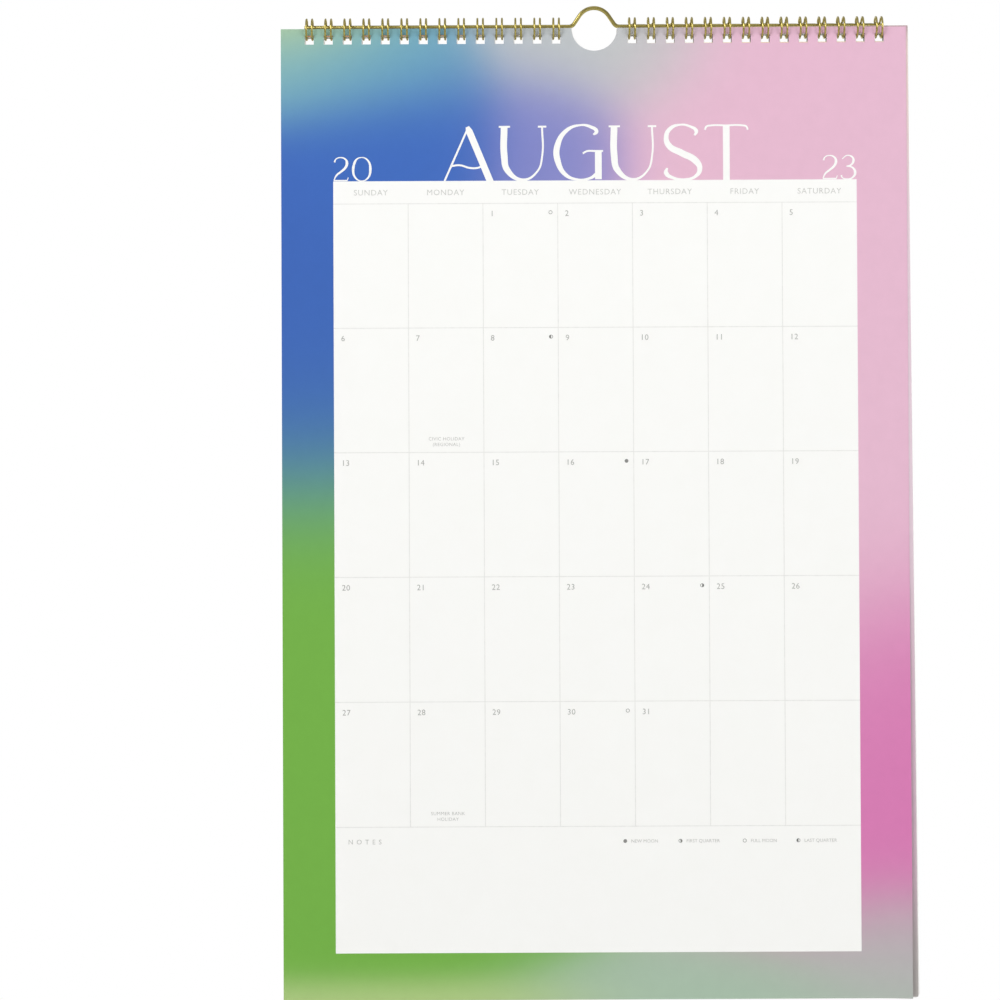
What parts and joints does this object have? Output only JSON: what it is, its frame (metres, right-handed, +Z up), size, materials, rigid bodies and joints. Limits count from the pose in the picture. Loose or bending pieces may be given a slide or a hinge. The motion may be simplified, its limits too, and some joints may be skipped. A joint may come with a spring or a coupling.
{
  "type": "wall calendar",
  "caption": "Portrait wall calendar on twin-loop wire: a month sheet over a block of sheets and a board, with a hanger wire whose hump goes over a nail.",
  "frame": {"origin": "where the nail bears, under the top of the hanger wire's hump", "axes": "+Z up along the sheets, +X to the reader's right, +Y into the wall; the month sheet faces -Y"},
  "size_m": [0.2794, 0.01, 0.442],
  "materials": {
    "gold_wire": "bright gold, drawn wire",
    "sheet_paper": "uncoated matt",
    "block_paper": "uncoated matt",
    "board": "plain grey-brown board",
    "rule_ink": "matt ink on paper",
    "print_teal_ink": "matt ink on paper",
    "print_blue_ink": "matt ink on paper",
    "print_green_ink": "matt ink on paper",
    "print_lilac_ink": "matt ink on paper",
    "print_sage_ink": "matt ink on paper",
    "print_pink_ink": "matt ink on paper",
    "print_magenta_ink": "matt ink on paper",
    "print_grey_ink": "matt ink on paper"
  },
  "bodies": {
    "hanger": {"hanger_wire": "gold_wire"},
    "calendar": {"binding_wire_left": "gold_wire", "binding_wire_right": "gold_wire", "page_block": "block_paper", "backing_board": "board"},
    "month_sheet": {"front_sheet": "sheet_paper", "date_rules": "rule_ink", "print_teal": "print_teal_ink", "print_blue": "print_blue_ink", "print_green": "print_green_ink", "print_lilac": "print_lilac_ink", "print_sage": "print_sage_ink", "print_pink": "print_pink_ink", "print_magenta": "print_magenta_ink", "print_grey": "print_grey_ink"}
  },
  "joints": [
    {"name": "hanger_swing", "type": "hinge", "parent": "hanger", "child": "calendar", "pos_m": [0, 0, -0.0074], "axis": [-1, 0, 0], "range_deg": [-90, 90]},
    {"name": "sheet_turn", "type": "hinge", "parent": "calendar", "child": "month_sheet", "pos_m": [0, 0, -0.0083], "axis": [-1, 0, 0], "range_deg": [0, 180]}
  ]
}
